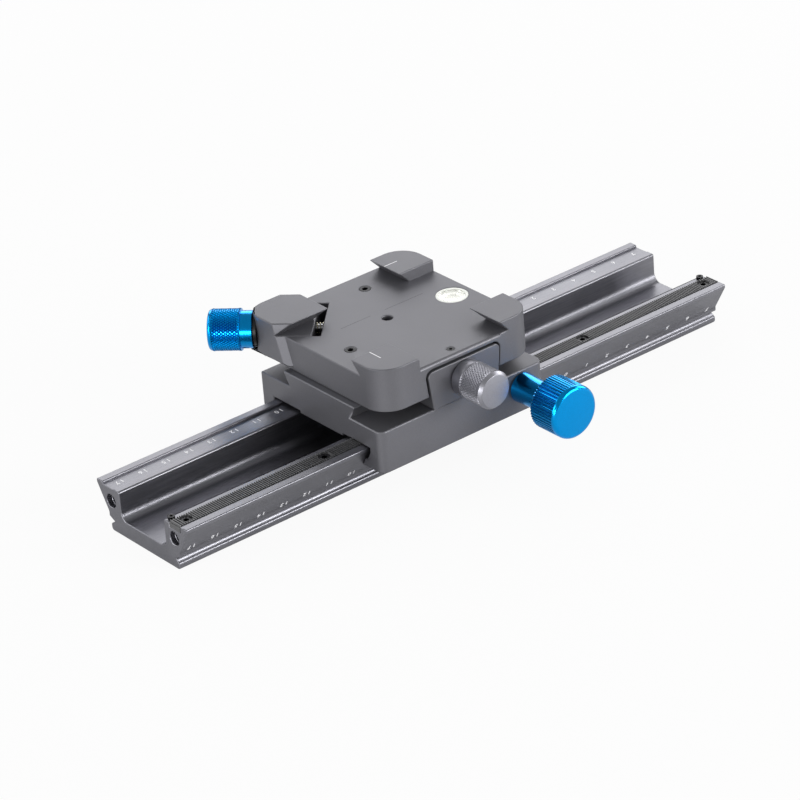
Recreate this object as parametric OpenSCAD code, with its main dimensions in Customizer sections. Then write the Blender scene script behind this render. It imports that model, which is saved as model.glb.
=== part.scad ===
// Macro focusing rail: a dovetail rail with a rack, a pinion driven carriage,
// and a cross clamp for quick release plates on top of the carriage.
// Millimetres. +X runs along the rail, +Z is up, the front of the rail faces -Y.
// The origin is the mouth of the tripod thread, in the middle of the rail's foot.

/* [Rail] */
// Length of the rail
rail_len = 250; // [230:10:360]
// Height of the rail, foot to top strips
rail_h = 18.15; // [17.8:0.05:20]
// Width across the upper dovetail
rail_w = 52.4; // [51.6:0.2:56]
// Height of the upright land on the dovetail's edge
land_h = 1.4; // [1:0.1:2]
// Width across the waist below the dovetail
waist_w = 41.2; // [40.8:0.1:42]
// Height of the waist above the foot
waist_z = 6.95; // [6.6:0.05:7.4]
// Width of the quick release foot
foot_w = 40; // [39.4:0.1:40.6]
// Height of the foot's side faces
foot_h = 2.55; // [2.2:0.05:2.8]
// Radius on the foot's lower edges
foot_r = 1.2; // [0.6:0.1:1.8]
// Depth of the vee groove above the foot
vee_depth = 2.2; // [1.8:0.1:2.4]
// Height of the vee groove
vee_h = 2.8; // [2.4:0.05:3.2]
// Width of the channel between the walls
channel_w = 26.2; // [25.8:0.1:26.4]
// Thickness of the rail's floor
rail_floor = 6.35; // [5.9:0.05:6.6]
// Radius between the channel's floor and walls
channel_r = 3.4; // [1.5:0.1:5]
// Width of the raised strip on top of each wall
strip_w = 3.5; // [3.4:0.1:3.6]
// Step from the strip down to the channel's lips
ledge_drop = 0.65; // [0.4:0.05:0.8]

/* [Rack and stops] */
// Width of the rack
rack_w = 6.1; // [5.8:0.05:6.1]
// Depth of the rack's seat below the top strips
rack_seat = 2.4; // [2.2:0.1:2.5]
// Height of the rack's tooth tips above the top strips
rack_proud = 0.2; // [0.15:0.05:0.4]
// Gear module of the rack and pinion
gear_module = 0.3; // [0.28:0.01:0.3]
// Teeth on the pinion
pinion_teeth = 12; // [12:1:13]
// Distance between the rack's fixing screws
rack_screw_pitch = 60; // [50:1:61]
// Radius of the rack's fixing screws
rack_screw_r = 1.2; // [1:0.05:1.3]
// Radius of the countersunk heads
rack_head_r = 2.2; // [1.8:0.1:2.4]
// Distance of the end stop screws from the rail's ends
stop_inset = 2.3; // [2:0.1:3]
// Radius of an end stop screw's head
stop_head_r = 1.3; // [1.1:0.05:1.35]
// Height of an end stop screw's head
stop_head_h = 1; // [0.9:0.05:1.4]

/* [Rail fittings] */
// Distance of the end threads from the rail's centre plane
end_hole_y = 18.5; // [18.3:0.1:18.8]
// Height of the end threads
end_hole_z = 11.95; // [11.7:0.05:12.1]
// Radius of the end threads
end_hole_r = 2.6; // [2.2:0.05:2.65]
// Depth of the end threads
end_hole_depth = 16; // [10:1:24]
// Radius of the large tripod thread's bore
tripod_r = 4; // [3.8:0.05:4.4]
// Outer radius of the large thread's insert
insert_r = 6.5; // [6:0.1:8]
// Radius of the small tripod threads' bores
small_tripod_r = 2.55; // [2.4:0.05:3]
// Distance between the small tripod threads
small_tripod_pitch = 50; // [36:1:60]

/* [Carriage] */
// Place of the carriage's middle along the rail
carriage_x = -8.5; // [-40:0.5:40]
// Length of the carriage
carriage_len = 75; // [74:1:90]
// Thickness of the carriage's hooks outside the dovetail
hook_wall = 7.8; // [7.4:0.1:8.6]
// Reach of the hooks below the rail's top strips
hook_drop = 8.1; // [7.8:0.1:8.4]
// Height of the shoulders above the carriage's underside
shoulder_h = 8; // [7.6:0.1:10]
// Height of the upper dovetail above the shoulders
rib_h = 5.3; // [5:0.1:6]
// Width across the upper dovetail's top
rib_w = 40; // [39:0.2:41]
// Width across the upper dovetail's root
rib_root_w = 34.4; // [33:0.2:35.4]
// Radius on the carriage's front corners
carriage_r = 3; // [1:0.5:5]
// Radius on the carriage's back corners
carriage_back_r = 0.6; // [0.4:0.1:2]
// Thickness of the adjusting gib, measured across the rail
gib_t = 1.4; // [1.2:0.1:1.6]
// Height of the adjusting gib
gib_h = 5.2; // [4.8:0.1:5.4]
// Radius of the gib's screws
gib_screw_r = 1.5; // [1.3:0.1:1.7]

/* [Drive] */
// Distance from the carriage's right end to the drive shaft
drive_inset = 10.5; // [8.6:0.1:13.4]
// Radius of the drive shaft's journal
journal_r = 2.5; // [2.3:0.1:2.6]
// Radius of the drive shaft's inner end
spindle_r = 1.4; // [1.2:0.05:1.4]
// Radius of the drive knob's head
drive_head_r = 9.7; // [8:0.1:10]
// Length of the drive knob's head
drive_head_len = 13.4; // [10:0.1:16]
// Radius of the drive knob's neck
drive_neck_r = 5.7; // [4.8:0.1:6]
// Length of the drive knob's neck
drive_neck_len = 15.2; // [14.6:0.2:20]
// Number of flutes round the drive knob
drive_flutes = 54; // [36:2:60]
// Depth of a flute
flute_depth = 0.35; // [0.2:0.05:0.5]

/* [Clamp base] */
// Length of the clamp base along the rail
base_len = 69.7; // [69:0.1:72]
// Depth of the clamp base across the rail, in front of the middle
base_front = 34; // [33.8:0.1:36]
// Depth of the clamp base across the rail, behind the middle
base_back = 39; // [38.5:0.1:41]
// Thickness of the clamp base, underside to floor
base_t = 12.3; // [12.2:0.1:14]
// Radius of the clamp base's upright corners
base_r = 9.5; // [8:0.5:11]
// Height of the claws above the floor
claw_h = 4.4; // [4:0.1:5]
// Reach of the front claws' upper edge from the base's front
front_reach = 16.9; // [16:0.1:17.5]
// Reach of the right claws' upper edge from the base's side
side_reach = 16.1; // [15.5:0.1:17]
// Undercut of a claw's face
claw_undercut = 4.1; // [3:0.1:4.4]
// Length of the claws along the base's sides
claw_len = 17.2; // [16:0.2:18]
// Radius on the floor's front edge, between the front claws
front_edge_r = 1.2; // [0.4:0.1:1.4]

/* [Corner jaw] */
// Distance that the jaw stands open
jaw_open = 3.3; // [3.1:0.1:3.6]
// Length of the jaw's guide from the base's corner
guide_len = 25.6; // [25.2:0.1:26.2]
// Width of the jaw at the floor
guide_w = 25.2; // [24.6:0.1:26]
// Widening of the jaw from its top to its foot
guide_flare = 7; // [6:0.1:7.6]
// Height of the guide's floor above the base's underside
guide_floor = 1.1; // [1:0.1:1.3]
// Reach of the jaw's upper edges from its outer faces
jaw_reach = 21.7; // [21.3:0.1:22]
// Radius on the jaw's upright corner
jaw_r = 8.5; // [8:0.1:9.5]
// Chamfer on the jaw's lower outer edges
jaw_chamfer = 1.2; // [0.8:0.1:2]
// Height of the jaw screw above the guide's floor
jaw_screw_rise = 7.75; // [7.6:0.05:7.9]
// Radius of the jaw screw
jaw_screw_r = 1.5; // [1.3:0.1:1.5]
// Radius of the jaw knob's knurled head
jaw_head_r = 7.65; // [7:0.05:8]
// Length of the jaw knob's knurled head
jaw_head_len = 11.9; // [9:0.1:15]
// Radius of the jaw knob's collar
jaw_collar_r = 6.85; // [6:0.05:6.9]
// Length of the jaw knob's collar
jaw_collar_len = 4.3; // [4.2:0.1:6]

/* [Clamping tab] */
// Distance from the base's middle to the tab's middle
tab_shift = 1.5; // [0:0.1:2]
// Width of the tab at its top
tab_w = 32.8; // [31.6:0.2:34]
// Narrowing of the tab from its top to its foot
tab_taper = 3.2; // [1:0.1:4]
// Thickness of the tab's plate
tab_t = 9.6; // [9:0.1:10.4]
// Height of the tab's top below the floor
tab_top_gap = 2.8; // [2.6:0.1:3.2]
// Height that the tab stands proud of the base's front
tab_proud = 0.5; // [0:0.1:0.8]
// Gap round the tab in its recess
tab_gap = 0.7; // [0.4:0.05:0.9]
// Radius of the tab's upper corners
tab_r = 2.2; // [1:0.1:3]
// Height of the tab screw below the floor
tab_screw_drop = 9.9; // [9.7:0.1:10]
// Radius of the tab screw
tab_screw_r = 1.9; // [1.7:0.05:1.95]
// Radius of the tab knob's knurled head
tab_head_r = 7.1; // [6.8:0.1:7.3]
// Length of the tab knob's knurled head
tab_head_len = 11.6; // [9:0.1:13]
// Radius of the tab knob's neck
tab_neck_r = 6.7; // [6:0.1:6.9]
// Length of the tab knob's neck
tab_neck_len = 4.5; // [4:0.1:6]

/* [Level] */
// Radius of the level's pocket
level_r = 5.95; // [5.2:0.05:6.2]
// Distance from the base's right side to the level's middle
level_x = 8.2; // [7.6:0.1:9]
// Distance from the base's back to the level's middle
level_y = 37.1; // [35:0.1:38]
// Depth of the level's pocket
level_depth = 6; // [5:0.1:7]

/* [Hidden] */
$fn = 96;

// Overrun of every cut past the face that it opens
over = 1;
// Radial gap of a screw or pressed piece in its own hole
snug = 0.02;
// Radial gap of a shaft that turns in its bore
run_gap = 0.04;
// Gap between flat faces that slide on each other
slide_gap = 0.1;
// Gap between a piece and the one that it passes close by
pass_gap = 0.3;
// Thinnest wall left beside a blind hole
web = 0.5;
// Pressure angle of the gear teeth, in degrees
pressure = 20;
// Play on each flank of a gear tooth
backlash = 0.035;
// Direction cosine of the corner jaw's diagonal
diagonal_share = 1 / sqrt(2);

// Rail, worked out
rail_half = rail_w / 2;
flank_top_z = rail_h - land_h;
flank_run = (rail_w - waist_w) / 2;
strip_y = rail_half - strip_w;
ledge_z = rail_h - ledge_drop;
lip_w = 3.6;
lip_rise = 0.25;
lip_r = 0.8;
lip_y = channel_w / 2 + lip_w;
shelf_z = ledge_z - lip_rise;

// Half width of the rail's dovetail at a height
function flank_y(z) = waist_w / 2 + flank_run * (z - waist_z) / (flank_top_z - waist_z);

// Rack and stops, worked out
pitch_r = gear_module * pinion_teeth / 2;
tooth_pitch = PI * gear_module;
addendum_share = 0.9;
dedendum_share = 1.2;
tooth_top = gear_module * addendum_share;
tooth_foot = gear_module * dedendum_share;
tooth_half = tooth_pitch / 4 - backlash;
rack_tip_z = rail_h + rack_proud;
rack_pitch_z = rack_tip_z - tooth_top;
rack_root_z = rack_pitch_z - tooth_foot;
rack_seat_z = rail_h - rack_seat;
rack_y1 = -(strip_y - slide_gap);
rack_y2 = rack_y1 + rack_w;
rack_mid_y = (rack_y1 + rack_y2) / 2;
groove_in_y = rack_y2 + slide_gap;
rack_screw_grip = 4.5;
rack_screw_deep_z = rack_seat_z - rack_screw_grip;
screws_each_way = floor((rail_len / 2 - rack_head_r * 2) / rack_screw_pitch);
rack_screw_xs = [for (i = [-screws_each_way : screws_each_way]) i * rack_screw_pitch];
stop_x = rail_len / 2 - stop_inset;
stop_y = -(channel_w / 2 - groove_in_y) / 2;
stop_shank_r = 0.8;
stop_shank_len = 5;
socket_share = 0.5;
socket_depth_share = 1.4;
flange_w = 1.5;
flange_h = 1.4;

// Carriage, worked out
under_z = rail_h + pass_gap;
tongue_gap = 0.9;
tongue_half = channel_w / 2 - tongue_gap;
carriage_half = rail_half + hook_wall;
hook_z = rail_h - hook_drop;
shoulder_z = under_z + shoulder_h;
rib_z = shoulder_z + rib_h;
rib_land = 0.7;
rib_flank_z = rib_z - rib_land;
relief = 1.2;
grip_h = 3.2;
flank_gap = 0.12;
gib_z0 = hook_z + slide_gap * 2;
gib_z1 = gib_z0 + gib_h;
gib_mid_z = (gib_z0 + gib_z1) / 2;
gib_inset = 1;
gib_recess = 0.5;
gib_screw_count = 3;
dog_r = 1;
dog_y = flank_y(gib_mid_z + dog_r) + flank_gap + pass_gap;
gib_screw_y = flank_y(gib_mid_z + gib_screw_r) + relief + gib_t;
shaft_x = carriage_x + carriage_len / 2 - drive_inset;
shaft_z = rack_pitch_z + pitch_r;
bush_wall = 1;
thin_bush_wall = 0.8;
front_bush_len = 2.8;
inner_bush_len = 5.6;
keeper_r = 1;
keeper_groove = 0.5;
keeper_y = -carriage_half + front_bush_len + keeper_r + pass_gap;
journal_collar = 1.4;
journal_end_y = keeper_y + keeper_r + journal_collar;
pinion_y1 = rack_y1 + slide_gap;
pinion_y2 = rack_y2 - slide_gap;
drive_face_y = -carriage_half - pass_gap;
shaft_grip = 16;
grub_r = 1.25;
drive_grub_s = 6;

// Clamp base, worked out
base_x0 = carriage_x - base_len / 2;
base_x1 = carriage_x + base_len / 2;
base_z = rib_z + slide_gap;
floor_z = base_z + base_t;
claw_z = floor_z + claw_h;
tab_x = carriage_x + tab_shift;
tab_screw_z = floor_z - tab_screw_drop;
tab_top_z = floor_z - tab_top_gap;
tab_foot_z = shoulder_z + slide_gap;
tab_lean = (tab_taper / 2) / (tab_top_z - tab_foot_z);
hook_top_z = base_z - slide_gap * 2;
tab_back_y = -base_front + tab_t;
tab_front_y = -base_front - tab_proud;
tab_back_gap = 0.4;
recess_y = tab_back_y + tab_back_gap;
lug_back_y = carriage_half;
tab_screw_grip = 13;
tab_pin_r = 1;
tab_pin_x = 10;
tab_pin_rise = 1.2;
tab_pin_z = tab_screw_z + tab_pin_rise;
tab_pin_grip = 5;
tab_pin_reach = 9;
tab_spring_r = 1.9;
tab_spring_len = 6;
tab_spring_wall = 0.6;
tab_travel = 1.5;
limit_screw_r = 1.45;
limit_screw_inset = 4.3;
limit_screw_y = -base_front + limit_screw_inset;
limit_screw_shift = -1.9;
limit_screw_dip = 1.2;
floor_screw_r = 2.15;
floor_screw_len = 7;
floor_screw_w = 23.6;
floor_screw_u = 20.65;
centre_hole_r = 2;
centre_hole_y = 5.2;
centre_hole_x = -0.6;
centre_hole_depth = 8;
neck_gap = 0.3;

// Corner jaw, worked out. It slides along the diagonal through the base's back
// left corner: u runs outwards along the diagonal, and the corner is at corner_u.
corner_u = (base_back - base_x0) * diagonal_share;
corner_w = (base_back + base_x0) * diagonal_share;
guide_z = base_z + guide_floor;
guide_u = corner_u - guide_len;
slider_u = guide_u + jaw_open;
jaw_x0 = base_x0 - jaw_open * diagonal_share;
jaw_y1 = base_back + jaw_open * diagonal_share;
jaw_foot_z = guide_z + slide_gap;
jaw_screw_z = guide_z + jaw_screw_rise;
spot_depth = 1.2;
jaw_face_u = corner_u + jaw_open - (sqrt(2) - 1) * jaw_r - spot_depth;
spot_r = 7;
washer_t = 1.4;
washer_step = 0.85;
washer_r = jaw_collar_r - washer_step;
knob_u = jaw_face_u + washer_t + slide_gap;
jaw_travel_in = 3;
jaw_screw_grip = 7.5;
screw_tip_u = guide_u - jaw_screw_grip;
spring_wire_r = 0.22;
spring_r = 1.92;
spring_pocket = 4;
spring_base_u = guide_u - spring_pocket;
spring_end_u = slider_u + spring_pocket;
spring_pitch = 1.1;
spring_turns = round((spring_end_u - spring_base_u) / spring_pitch);
jaw_grub_angle = 52;
head_edge = 1.4;

// Half width of the jaw at a height
function jaw_half(z) = guide_w / 2 + guide_flare / 2 * (floor_z - z) / (claw_z - guide_z);

// Half width of the tab at a height
function tab_half(z) = tab_w / 2 - tab_lean * (tab_top_z - z);

// Level, worked out
cup_wall = 0.9;
glass_t = 1;
level_sink = 0.4;
bubble_r = 2.4;
bubble_h = 0.7;
level_cx = base_x1 - level_x;
level_cy = base_back - level_y;

// Points of an arc round a centre, from one angle to another
function arc(c, r, a, b, steps = 8) =
    [for (i = [0 : steps]) c + r * [cos(a + (b - a) * i / steps), sin(a + (b - a) * i / steps)]];

// A right half outline and its mirror image as one outline
function both_sides(half) =
    concat(half, [for (i = [len(half) - 1 : -1 : 0]) [-half[i][0], half[i][1]]]);

// Extrudes an outline of Y and Z along X
module along_x(x0, x1)
    translate([x0, 0, 0]) rotate([90, 0, 90]) linear_extrude(x1 - x0) children();

// Extrudes an outline of X and Z along Y
module along_y(y0, y1)
    translate([0, y1, 0]) rotate([90, 0, 0]) linear_extrude(y1 - y0) children();

// Round bar along X
module rod_x(y, z, x0, x1, r)
    translate([x0, y, z]) rotate([0, 90, 0]) cylinder(r = r, h = x1 - x0);

// Round bar along Y
module rod_y(x, z, y0, y1, r)
    translate([x, y1, z]) rotate([90, 0, 0]) cylinder(r = r, h = y1 - y0);

// Round bar along Z
module post(x, y, z0, z1, r)
    translate([x, y, z0]) cylinder(r = r, h = z1 - z0);

// Turned piece whose axis points to the front, from a profile of radius and length
module turned_y(x, z, y, profile)
    translate([x, y, z]) rotate([90, 0, 0]) rotate_extrude() polygon(profile);

// Hexagon socket, mouth at the origin, sinking along -Z
module socket(r)
    translate([0, 0, -r * socket_depth_share])
        cylinder(r = r, h = r * socket_depth_share + over, $fn = 6);

// Set screw of radius r from z0 up to z1, with its socket on top
module set_screw(r, z0, z1)
    difference() {
        translate([0, 0, z0]) cylinder(r = r, h = z1 - z0);
        translate([0, 0, z1]) socket(r * socket_share);
    }

// Frame of the corner jaw: Z runs outwards along the diagonal, Y is up
module on_diagonal()
    translate([corner_w * diagonal_share, corner_w * diagonal_share, 0])
        rotate([90, 0, 225]) children();

// Round bar along the jaw's diagonal
module rod_u(z, u0, u1, r)
    on_diagonal() translate([0, z, u0]) cylinder(r = r, h = u1 - u0);

// Rectangle with round corners
module rounded_outline(x0, x1, y0, y1, r) {
    translate([x0 + r, y0]) square([x1 - x0 - 2 * r, y1 - y0]);
    translate([x0, y0 + r]) square([x1 - x0, y1 - y0 - 2 * r]);
    for (x = [x0 + r, x1 - r], y = [y0 + r, y1 - r]) translate([x, y]) circle(r);
}

// Rail

module rail_outline()
    polygon(both_sides(concat(
        arc([foot_w / 2 - foot_r, foot_r], foot_r, -90, 0),
        [
            [foot_w / 2, foot_h],
            [foot_w / 2 - vee_depth, foot_h + vee_h / 2],
            [waist_w / 2, foot_h + vee_h],
            [waist_w / 2, waist_z],
            [rail_half, flank_top_z],
            [rail_half, rail_h],
            [strip_y, rail_h],
            [strip_y, shelf_z],
            [lip_y, shelf_z],
            [lip_y, ledge_z]
        ],
        arc([channel_w / 2 + lip_r, ledge_z - lip_r], lip_r, 90, 180),
        arc([channel_w / 2 - channel_r, rail_floor + channel_r], channel_r, 0, -90)
    )));

// Tip of a rack screw: the ones above the end threads are short
function rack_screw_z(x) =
    abs(x) + rack_screw_r > rail_len / 2 - end_hole_depth - web
        ? end_hole_z + end_hole_r + pass_gap
        : rack_screw_deep_z;

module rail()
    color("#77777c")
    difference() {
        along_x(-rail_len / 2, rail_len / 2) rail_outline();
        translate([-rail_len / 2 - over, rack_y1 - slide_gap, rack_seat_z])
            cube([rail_len + 2 * over, rack_w + 2 * slide_gap, rack_seat + over]);
        for (x = rack_screw_xs)
            post(x, rack_mid_y, rack_screw_z(x) - snug, rack_seat_z + over, rack_screw_r + snug);
        for (side = [-1, 1]) {
            post(side * stop_x, stop_y, ledge_z - stop_shank_len - snug, ledge_z + over,
                stop_shank_r + snug);
            post(side * small_tripod_pitch / 2, 0, -over, rail_floor + over, small_tripod_r);
            for (y = [-end_hole_y, end_hole_y])
                translate([side * rail_len / 2, y, end_hole_z]) rotate([0, -side * 90, 0])
                    translate([0, 0, -over]) cylinder(r = end_hole_r, h = end_hole_depth + over);
        }
        post(0, 0, -over, rail_floor + over, insert_r + snug);
        post(0, 0, rail_floor - flange_h, rail_floor + over, insert_r + flange_w + snug);
    }

module tripod_insert()
    color("#8d8f92")
    difference() {
        union() {
            post(0, 0, 0, rail_floor, insert_r);
            post(0, 0, rail_floor - flange_h + snug, rail_floor, insert_r + flange_w);
        }
        post(0, 0, -over, rail_floor + over, tripod_r);
    }

// Centre of a rack tooth: a gap between two teeth faces the pinion
function tooth_x(k) = shaft_x + (k + 0.5) * tooth_pitch;

rack_slope = tan(pressure);
root_half = tooth_half + tooth_foot * rack_slope;
tip_half = tooth_half - tooth_top * rack_slope;
first_tooth = ceil((-rail_len / 2 + root_half - shaft_x) / tooth_pitch - 0.5);
last_tooth = floor((rail_len / 2 - root_half - shaft_x) / tooth_pitch - 0.5);

module rack_outline()
    polygon(concat(
        [
            [rail_len / 2, rack_root_z],
            [rail_len / 2, rack_seat_z],
            [-rail_len / 2, rack_seat_z],
            [-rail_len / 2, rack_root_z]
        ],
        [
            for (k = [first_tooth : last_tooth])
                for (p = [
                    [-root_half, rack_root_z], [-tip_half, rack_tip_z],
                    [tip_half, rack_tip_z], [root_half, rack_root_z]
                ])
                    [tooth_x(k) + p[0], p[1]]
        ]
    ));

module rack()
    color("#464641")
    difference() {
        along_y(rack_y1, rack_y2) rack_outline();
        for (x = rack_screw_xs) translate([x, rack_mid_y, 0]) {
            translate([0, 0, rack_seat_z - over])
                cylinder(r = rack_screw_r + slide_gap, h = rack_seat + rack_proud + over);
            translate([0, 0, rack_root_z - rack_head_r + rack_screw_r - slide_gap])
                cylinder(r1 = rack_screw_r + slide_gap, r2 = rack_head_r + slide_gap,
                    h = rack_head_r - rack_screw_r);
            translate([0, 0, rack_root_z - slide_gap])
                cylinder(r = rack_head_r + slide_gap, h = rack_tip_z - rack_root_z + over);
        }
    }

module rack_screws()
    color("#2b2b2d")
    for (x = rack_screw_xs) translate([x, rack_mid_y, 0]) difference() {
        rotate_extrude() polygon([
            [0, rack_screw_z(x)],
            [rack_screw_r, rack_screw_z(x)],
            [rack_screw_r, rack_root_z - rack_head_r + rack_screw_r],
            [rack_head_r, rack_root_z],
            [0, rack_root_z]
        ]);
        translate([0, 0, rack_root_z]) socket(rack_head_r * socket_share);
    }

module end_stop_screws()
    color("#3a3a3c")
    for (side = [-1, 1]) translate([side * stop_x, stop_y, ledge_z]) difference() {
        union() {
            cylinder(r = stop_head_r, h = stop_head_h);
            translate([0, 0, -stop_shank_len]) cylinder(r = stop_shank_r, h = stop_shank_len);
        }
        translate([0, 0, stop_head_h]) socket(stop_head_r * socket_share);
    }

// Carriage

module carriage_outline()
    polygon([
        [carriage_half, hook_z],
        [carriage_half, shoulder_z],
        [rib_root_w / 2, shoulder_z],
        [rib_w / 2, rib_flank_z],
        [rib_w / 2, rib_z],
        [-rib_w / 2, rib_z],
        [-rib_w / 2, rib_flank_z],
        [-rib_root_w / 2, shoulder_z],
        [-carriage_half, shoulder_z],
        [-carriage_half, hook_z],
        [-flank_y(hook_z) - flank_gap, hook_z],
        [-flank_y(hook_z + grip_h) - flank_gap, hook_z + grip_h],
        [-flank_y(hook_z + grip_h) - relief, hook_z + grip_h],
        [-rail_half - relief, flank_top_z],
        [-rail_half - relief, under_z],
        [rack_y1 - slide_gap * 2, under_z],
        [rack_y1 - slide_gap * 2, rack_tip_z + pass_gap],
        [rack_y2 + pass_gap, rack_tip_z + pass_gap],
        [rack_y2 + pass_gap, under_z],
        [-tongue_half, under_z],
        [-tongue_half, ledge_z],
        [tongue_half, ledge_z],
        [tongue_half, under_z],
        [rail_half + relief, under_z],
        [rail_half + relief, flank_top_z],
        [gib_wall_y(gib_z1 + slide_gap), gib_z1 + slide_gap],
        [gib_wall_y(hook_z), hook_z]
    ]);

// Wall behind the gib at a height
function gib_wall_y(z) = flank_y(z) + flank_gap + gib_t + slide_gap / 2;

gib_xs = [for (i = [0 : gib_screw_count - 1]) carriage_x + (i - (gib_screw_count - 1) / 2)
    * carriage_len / gib_screw_count];

// The carriage seen from above: its back corners are the sharper ones
module carriage_plan() {
    x0 = carriage_x - carriage_len / 2;
    x1 = carriage_x + carriage_len / 2;
    rounded_outline(x0, x1, -carriage_half, carriage_half, carriage_r);
    rounded_outline(x0, x1, 0, carriage_half, carriage_back_r);
}

module carriage()
    color("#6f6f75")
    difference() {
        intersection() {
            along_x(carriage_x - carriage_len / 2, carriage_x + carriage_len / 2)
                carriage_outline();
            translate([0, 0, hook_z - over]) linear_extrude(rib_z - hook_z + 2 * over)
                carriage_plan();
        }
        rod_y(shaft_x, shaft_z, -carriage_half - over, -carriage_half + front_bush_len,
            journal_r + bush_wall + snug);
        rod_y(shaft_x, shaft_z, -carriage_half - over, -tongue_half, journal_r + slide_gap);
        rod_y(shaft_x, shaft_z, -tongue_half - over, -tongue_half + inner_bush_len,
            spindle_r + thin_bush_wall + snug);
        post(shaft_x, keeper_y, hook_z - over, shaft_z, keeper_r + snug);
        for (x = gib_xs)
            rod_y(x, gib_mid_z, flank_y(gib_mid_z), carriage_half + over, gib_screw_r + snug);
    }

module gib()
    color("#b08d4a")
    difference() {
        along_x(carriage_x - carriage_len / 2 + gib_inset, carriage_x + carriage_len / 2 - gib_inset)
            polygon([
                [flank_y(gib_z0) + flank_gap, gib_z0],
                [flank_y(gib_z0) + flank_gap + gib_t, gib_z0],
                [flank_y(gib_z1) + flank_gap + gib_t, gib_z1],
                [flank_y(gib_z1) + flank_gap, gib_z1]
            ]);
        for (x = gib_xs)
            rod_y(x, gib_mid_z, dog_y, carriage_half, dog_r + run_gap);
    }

module gib_screws()
    color("#2b2b2d")
    for (x = gib_xs) translate([x, 0, gib_mid_z]) rotate([-90, 0, 0]) {
        set_screw(gib_screw_r, gib_screw_y, carriage_half - gib_recess);
        translate([0, 0, dog_y + snug]) cylinder(r = dog_r, h = gib_screw_y - dog_y);
    }

module front_bush()
    color("#b08d4a")
    difference() {
        rod_y(shaft_x, shaft_z, -carriage_half, -carriage_half + front_bush_len,
            journal_r + bush_wall);
        rod_y(shaft_x, shaft_z, -carriage_half - over, -carriage_half + front_bush_len + over,
            journal_r + run_gap);
    }

module inner_bush()
    color("#b08d4a")
    difference() {
        rod_y(shaft_x, shaft_z, -tongue_half, -tongue_half + inner_bush_len,
            spindle_r + thin_bush_wall);
        rod_y(shaft_x, shaft_z, -tongue_half - over, -tongue_half + inner_bush_len + over,
            spindle_r + run_gap);
    }

module shaft_keeper()
    color("#2b2b2d")
    translate([shaft_x, keeper_y, 0]) mirror([0, 0, 1])
        set_screw(keeper_r, -(shaft_z - journal_r + keeper_groove - run_gap), -(hook_z + web));

// Drive

base_circle_r = pitch_r * cos(pressure);
tip_circle_r = pitch_r + tooth_top;
root_circle_r = pitch_r - tooth_foot;
flank_steps = 5;

// Half angle of a pinion tooth at a radius: an involute, and radial below its base circle
function involute(a) = tan(a) - a * PI / 180;
function tooth_angle(r) =
    (tooth_half / pitch_r + involute(pressure)
        - involute(acos(min(1, base_circle_r / r)))) * 180 / PI;

// Radii of the points along a tooth's flank, root to tip
flank_rs = concat(
    [root_circle_r],
    [for (i = [0 : flank_steps]) base_circle_r + (tip_circle_r - base_circle_r) * i / flank_steps]
);

// The pinion's outline, with a tooth pointing down
module pinion_outline()
    polygon([
        for (t = [0 : pinion_teeth - 1])
            for (side = [-1, 1])
                for (i = side < 0 ? [0 : flank_steps + 1] : [flank_steps + 1 : -1 : 0])
                    let (a = -90 + t * 360 / pinion_teeth + side * tooth_angle(flank_rs[i]))
                        flank_rs[i] * [cos(a), sin(a)]
    ]);

module pinion_shaft()
    color("#b9bcc0")
    difference() {
        union() {
            rod_y(shaft_x, shaft_z, pinion_y2 - over, -tongue_half + inner_bush_len - slide_gap,
                spindle_r);
            translate([shaft_x, 0, shaft_z]) along_y(pinion_y1, pinion_y2) pinion_outline();
            rod_y(shaft_x, shaft_z, journal_end_y - over, pinion_y1 + over, spindle_r);
            rod_y(shaft_x, shaft_z, drive_face_y - shaft_grip, journal_end_y, journal_r);
        }
        turned_y(shaft_x, shaft_z, keeper_y + keeper_r + slide_gap, [
            [journal_r - keeper_groove, 0],
            [journal_r + over, 0],
            [journal_r + over, 2 * keeper_r + 2 * slide_gap],
            [journal_r - keeper_groove, 2 * keeper_r + 2 * slide_gap]
        ]);
    }

drive_len = drive_neck_len + drive_head_len;
neck_waist = 0.3;
drive_edge = 1;
heel_edge = 0.5;
drive_cap_r = drive_head_r - flute_depth - slide_gap;

// Outline of the drive knob's head with its flutes
module fluted_outline()
    polygon([
        for (i = [0 : 2 * drive_flutes - 1])
            let (a = i * 180 / drive_flutes, r = drive_head_r - (i % 2) * flute_depth)
                r * [cos(a), sin(a)]
    ]);

module drive_knob()
    color("#0077bd")
    difference() {
        union() {
            turned_y(shaft_x, shaft_z, drive_face_y, [
                [0, 0],
                [drive_neck_r, 0],
                [drive_neck_r - neck_waist, drive_neck_len / 2],
                [drive_neck_r, drive_neck_len],
                [drive_neck_r, drive_neck_len + over],
                [0, drive_neck_len + over]
            ]);
            translate([shaft_x, 0, shaft_z])
                along_y(drive_face_y - drive_len + drive_edge, drive_face_y - drive_neck_len)
                    fluted_outline();
            turned_y(shaft_x, shaft_z, drive_face_y, concat(
                [[0, drive_neck_len + over], [drive_cap_r, drive_neck_len + over]],
                arc([drive_cap_r - drive_edge, drive_len - drive_edge], drive_edge, 0, 90),
                [[0, drive_len]]
            ));
        }
        rod_y(shaft_x, shaft_z, drive_face_y - shaft_grip - snug, drive_face_y + over,
            journal_r + snug);
        post(shaft_x, drive_face_y - drive_grub_s, shaft_z - drive_neck_r - over, shaft_z,
            grub_r + snug);
    }

module drive_knob_grub()
    color("#2b2b2d")
    translate([shaft_x, drive_face_y - drive_grub_s, shaft_z]) mirror([0, 0, 1])
        set_screw(grub_r, shaft_flat_gap + journal_r, drive_neck_r - web);

shaft_flat_gap = 0.05;

// Clamp base

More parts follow.
